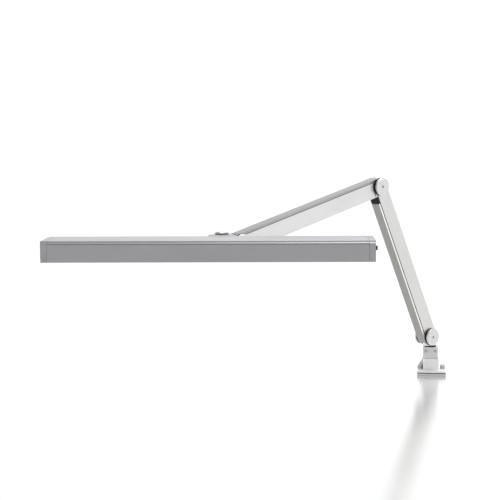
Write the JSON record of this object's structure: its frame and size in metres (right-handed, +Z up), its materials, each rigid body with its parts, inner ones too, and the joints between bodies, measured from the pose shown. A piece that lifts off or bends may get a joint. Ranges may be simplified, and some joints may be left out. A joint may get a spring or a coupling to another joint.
{
  "type": "bench work light",
  "caption": "Linear LED bench light: long flat head with a dimmer button on a folding, swivelling friction arm with a screw-down flange.",
  "frame": {"origin": "on the base swivel axis, at the underside of the mounting plate", "axes": "+Z up from the bench, +X along the head towards its button end, -Y towards the front of the head"},
  "size_m": [0.8739, 0.6182, 0.4832],
  "materials": {
    "arm_aluminium": "satin anodised",
    "cover_aluminium": "satin anodised",
    "disc_aluminium": "fine turned, anodised",
    "head_aluminium": "satin anodised",
    "cast_aluminium": "bead blasted",
    "black_plastic": "fine texture",
    "rubber": "matt",
    "steel": "zinc plated",
    "chrome": "polished",
    "bronze": "sintered",
    "opal": "satin opal",
    "board": "white lacquered",
    "driver_case": "moulded"
  },
  "bodies": {
    "base": {"mount_plate": "cast_aluminium", "base_gasket": "rubber", "base_flange": "cast_aluminium", "flange_screw_left": "steel", "flange_screw_right": "steel", "swivel_housing": "cast_aluminium", "housing_screw_left": "steel", "housing_screw_right": "steel", "swivel_bush": "bronze", "cable_gland": "black_plastic"},
    "turret": {"swivel_shaft": "steel", "swivel_washer": "black_plastic", "shoulder_knuckle": "cast_aluminium", "retaining_ring": "steel"},
    "lower_arm": {"lower_arm_profile": "arm_aluminium", "lower_arm_cover": "cover_aluminium", "elbow_cable_guide": "black_plastic", "shoulder_bolt": "steel", "shoulder_washer_near": "black_plastic", "shoulder_washer_far": "black_plastic", "shoulder_disc_near": "disc_aluminium", "shoulder_disc_far": "disc_aluminium", "elbow_bolt": "steel", "elbow_washer_near": "black_plastic", "elbow_washer_far": "black_plastic", "elbow_disc_near": "disc_aluminium", "elbow_disc_far": "disc_aluminium"},
    "upper_arm": {"upper_arm_profile": "arm_aluminium", "upper_arm_cover": "cover_aluminium", "elbow_tongue": "cast_aluminium", "wrist_bolt": "steel", "wrist_washer_near": "black_plastic", "wrist_washer_far": "black_plastic", "wrist_disc_near": "disc_aluminium", "wrist_disc_far": "disc_aluminium"},
    "wrist_block": {"wrist_knuckle": "cast_aluminium", "swivel_liner_lower": "black_plastic"},
    "head_bracket": {"head_bracket": "cast_aluminium", "swivel_liner_upper": "black_plastic", "swivel_cap": "chrome", "head_swivel_bolt": "steel", "tilt_washer_left": "black_plastic", "tilt_washer_right": "black_plastic", "tilt_screw": "steel", "tilt_nut": "steel"},
    "head": {"head_housing": "head_aluminium", "end_cap_left": "head_aluminium", "end_cap_right": "head_aluminium", "end_screw_left_1": "steel", "end_screw_left_2": "steel", "end_screw_right_1": "steel", "end_screw_right_2": "steel", "diffuser": "opal", "led_board": "board", "led_driver": "driver_case", "rail_clamp": "cast_aluminium", "button_collar": "black_plastic"},
    "button": {"dimmer_button": "black_plastic"}
  },
  "joints": [
    {"name": "base_swivel", "type": "hinge", "parent": "base", "child": "turret", "pos_m": [0, 0, 0.0681], "axis": [0, 0, 1], "range_deg": [-165, 165]},
    {"name": "shoulder_tilt", "type": "hinge", "parent": "turret", "child": "lower_arm", "pos_m": [-0.01011, -0.00894, 0.0925], "axis": [-0.6626, 0.749, 0], "range_deg": [-18, 70]},
    {"name": "elbow_fold", "type": "hinge", "parent": "lower_arm", "child": "upper_arm", "pos_m": [-0.14341, -0.12687, 0.4623], "axis": [0.6626, -0.749, 0], "range_deg": [-75, 4]},
    {"name": "wrist_tilt", "type": "hinge", "parent": "upper_arm", "child": "wrist_block", "pos_m": [-0.45384, -0.40153, 0.35973], "axis": [0.6626, -0.749, 0], "range_deg": [-36, 45]},
    {"name": "head_swivel", "type": "hinge", "parent": "wrist_block", "child": "head_bracket", "pos_m": [-0.4838, -0.42803, 0.35973], "axis": [0, 0, 1], "range_deg": [-60, 40]},
    {"name": "head_tilt", "type": "hinge", "parent": "head_bracket", "child": "head", "pos_m": [-0.4838, -0.46063, 0.36392], "axis": [1, 0, 0], "range_deg": [-20, 45]},
    {"name": "button_press", "type": "slide", "parent": "head", "child": "button", "axis": [-1, 0, 0], "range_m": [0, 0.002], "stiffness_N_per_m": 400, "springref_m": -0.002}
  ]
}
